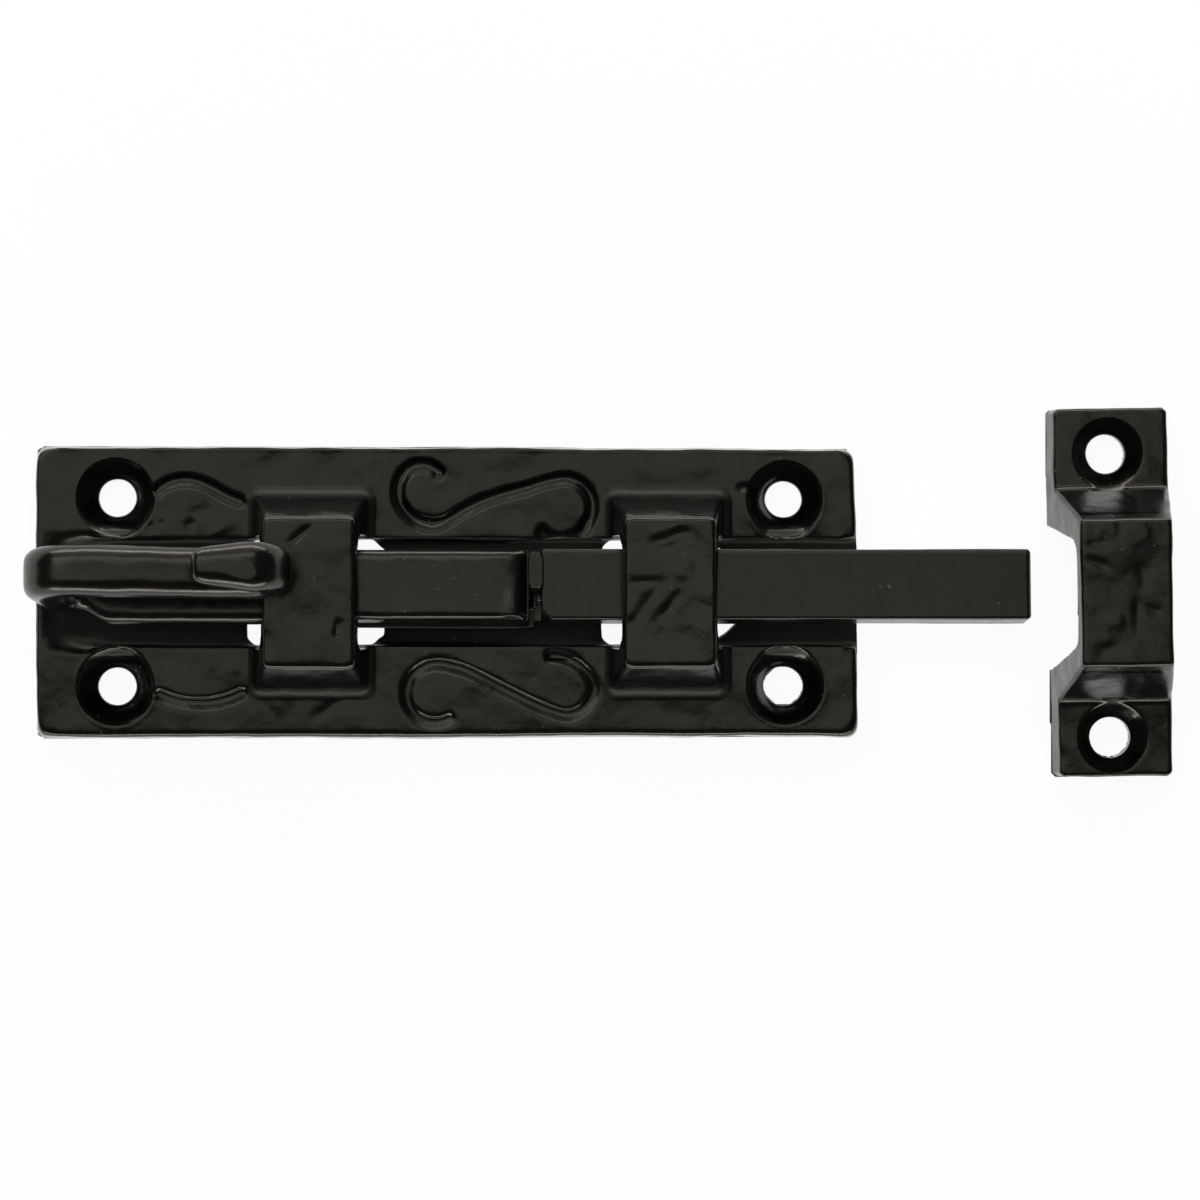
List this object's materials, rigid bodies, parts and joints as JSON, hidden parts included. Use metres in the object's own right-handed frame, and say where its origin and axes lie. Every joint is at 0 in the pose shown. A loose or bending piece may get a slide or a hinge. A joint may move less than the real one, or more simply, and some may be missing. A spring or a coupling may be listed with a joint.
{
  "type": "door bolt",
  "caption": "Straight surface door bolt in black cast iron: backplate with two bridges, sliding bar with a curled tail handle, bow spring and a loose bridge keep.",
  "frame": {"origin": "middle of the four backplate screws, on the back face that lies against the door", "axes": "+X along the bolt towards the keep, +Y across it, +Z out of the door face"},
  "size_m": [0.1423, 0.0464, 0.0279],
  "materials": {
    "casting": "satin black paint over lumpy cast iron",
    "bar": "satin black paint over flat steel",
    "weld": "satin black paint over a rough weld",
    "spring": "satin black paint over spring steel"
  },
  "bodies": {
    "fixed_ironwork": {"backplate": "casting", "keep": "casting"},
    "bolt": {"bolt_bar": "bar", "curl_handle": "casting", "stop_weld": "weld", "friction_spring": "spring"}
  },
  "joints": [
    {"name": "bolt_slide", "type": "slide", "parent": "fixed_ironwork", "child": "bolt", "axis": [-1, 0, 0], "range_m": [0, 0.0204]}
  ]
}
